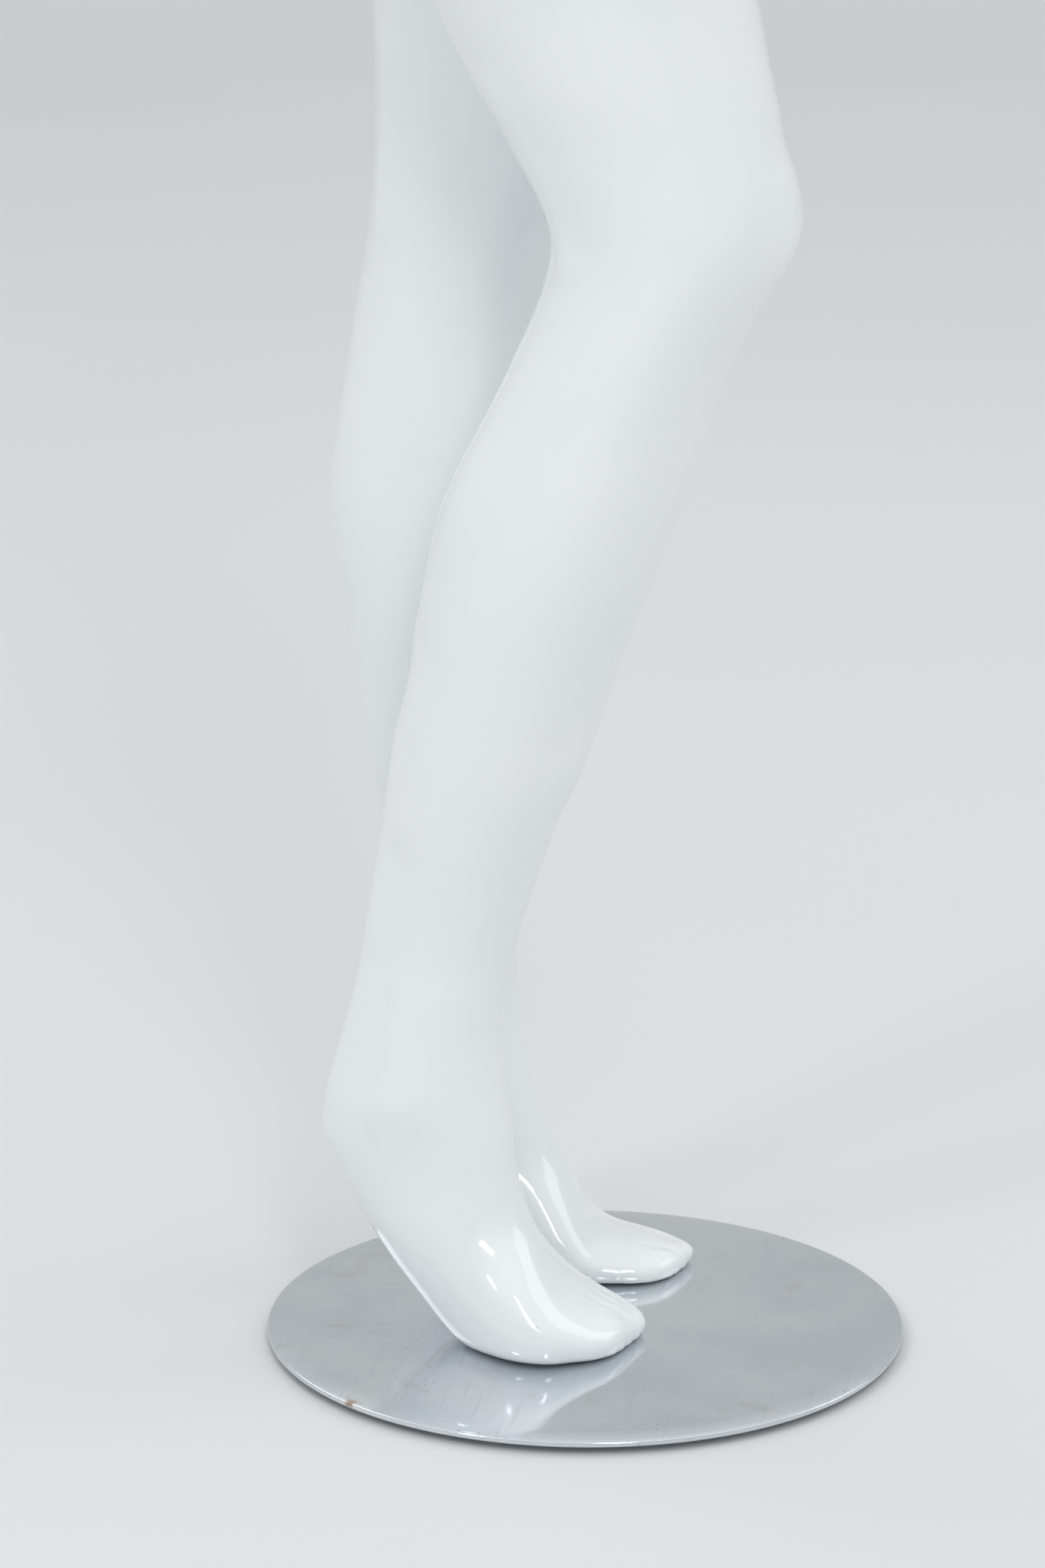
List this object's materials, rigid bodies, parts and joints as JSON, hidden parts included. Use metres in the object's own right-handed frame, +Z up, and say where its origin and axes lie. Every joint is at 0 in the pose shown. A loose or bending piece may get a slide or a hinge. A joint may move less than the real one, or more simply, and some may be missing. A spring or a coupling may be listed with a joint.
{
  "type": "shop mannequin",
  "caption": "Full-figure glossy white shop mannequin in a raised-heel pose on a round chromed steel base, with turning head, waist, arms and hands.",
  "frame": {"origin": "centre of the base's underside, where its middle rubber pad rests on the floor", "axes": "+Z up along the standing figure; the figure faces -Y, and its left side is +X"},
  "size_m": [0.48, 0.335, 1.805],
  "materials": {
    "shell_white": "high-gloss sprayed lacquer over glass-fibre laminate",
    "plate_steel": "worn satin chrome with fine scratches",
    "rod_steel": "bright drawn steel",
    "fitting_steel": "turned and zinc plated",
    "screw_zinc": "zinc plated",
    "dark_steel": "black oxide",
    "plywood": "bare birch plywood",
    "nylon": "natural nylon",
    "rubber": "moulded black rubber"
  },
  "bodies": {
    "base": {"base_plate": "plate_steel", "base_pads": "rubber", "support_rod": "rod_steel", "rod_flange": "rod_steel", "rod_bolt": "dark_steel"},
    "lower_body": {"lower_body_shell": "shell_white", "leg_socket": "fitting_steel", "lock_screw_boss": "fitting_steel", "hip_top_disc": "plywood", "waist_socket": "fitting_steel", "waist_socket_screws": "screw_zinc", "hip_thigh_disc": "plywood", "thigh_socket": "fitting_steel", "thigh_socket_screws": "screw_zinc"},
    "lock_screw": {"ankle_lock_screw": "dark_steel"},
    "right_leg": {"right_leg_shell": "shell_white", "right_thigh_disc": "plywood", "thigh_spigot": "fitting_steel", "thigh_spigot_screws": "screw_zinc"},
    "washer": {"waist_washer": "nylon"},
    "torso": {"torso_shell": "shell_white", "torso_bottom_disc": "plywood", "waist_spigot": "fitting_steel", "waist_spigot_screws": "screw_zinc", "neck_disc": "plywood", "neck_socket": "fitting_steel", "neck_socket_screws": "screw_zinc", "left_shoulder_disc": "plywood", "left_shoulder_socket": "fitting_steel", "left_shoulder_screws": "screw_zinc", "right_shoulder_disc": "plywood", "right_shoulder_socket": "fitting_steel", "right_shoulder_screws": "screw_zinc"},
    "head": {"head_shell": "shell_white", "head_disc": "plywood", "head_spigot": "fitting_steel", "head_spigot_screws": "screw_zinc"},
    "left_arm": {"left_arm_shell": "shell_white", "left_arm_disc": "plywood", "left_arm_spigot": "fitting_steel", "left_arm_screws": "screw_zinc", "left_wrist_socket": "fitting_steel"},
    "right_arm": {"right_arm_shell": "shell_white", "right_arm_disc": "plywood", "right_arm_spigot": "fitting_steel", "right_arm_screws": "screw_zinc", "right_wrist_socket": "fitting_steel"},
    "left_hand": {"left_hand": "shell_white", "left_hand_spigot": "fitting_steel"},
    "right_hand": {"right_hand": "shell_white", "right_hand_spigot": "fitting_steel"}
  },
  "joints": [
    {"name": "figure_lift", "type": "slide", "parent": "base", "child": "lower_body", "axis": [0, 0, 1], "range_m": [0, 0.22]},
    {"name": "lock_screw_turn", "type": "hinge", "parent": "lower_body", "child": "lock_screw", "pos_m": [0.088, 0.1, 0.118], "axis": [0, 1, 0], "range_deg": [-720, 0]},
    {"name": "right_leg_turn", "type": "hinge", "parent": "lower_body", "child": "right_leg", "pos_m": [-0.052, 0.045, 0.856], "axis": [0, 0, 1], "range_deg": [-20, 0]},
    {"name": "waist_turn", "type": "hinge", "parent": "lower_body", "child": "washer", "pos_m": [0.03, 0.04, 1.15], "axis": [0, 0, 1], "range_deg": [-15, 15]},
    {"name": "torso_lift", "type": "slide", "parent": "washer", "child": "torso", "axis": [0, 0, 1], "range_m": [0, 0.09]},
    {"name": "head_turn", "type": "hinge", "parent": "torso", "child": "head", "pos_m": [0.03, 0.044, 1.54], "axis": [0, 0, 1], "range_deg": [-40, 40]},
    {"name": "left_arm_turn", "type": "hinge", "parent": "torso", "child": "left_arm", "pos_m": [0.168, 0.045, 1.418], "axis": [-1, 0, 0], "range_deg": [-25, 60]},
    {"name": "right_arm_turn", "type": "hinge", "parent": "torso", "child": "right_arm", "pos_m": [-0.108, 0.045, 1.418], "axis": [-1, 0, 0], "range_deg": [-25, 60]},
    {"name": "left_hand_turn", "type": "hinge", "parent": "left_arm", "child": "left_hand", "pos_m": [0.248, 0.01, 0.905], "axis": [0, 0, 1], "range_deg": [-60, 60]},
    {"name": "right_hand_turn", "type": "hinge", "parent": "right_arm", "child": "right_hand", "pos_m": [-0.188, 0.01, 0.905], "axis": [0, 0, 1], "range_deg": [-60, 60]}
  ]
}
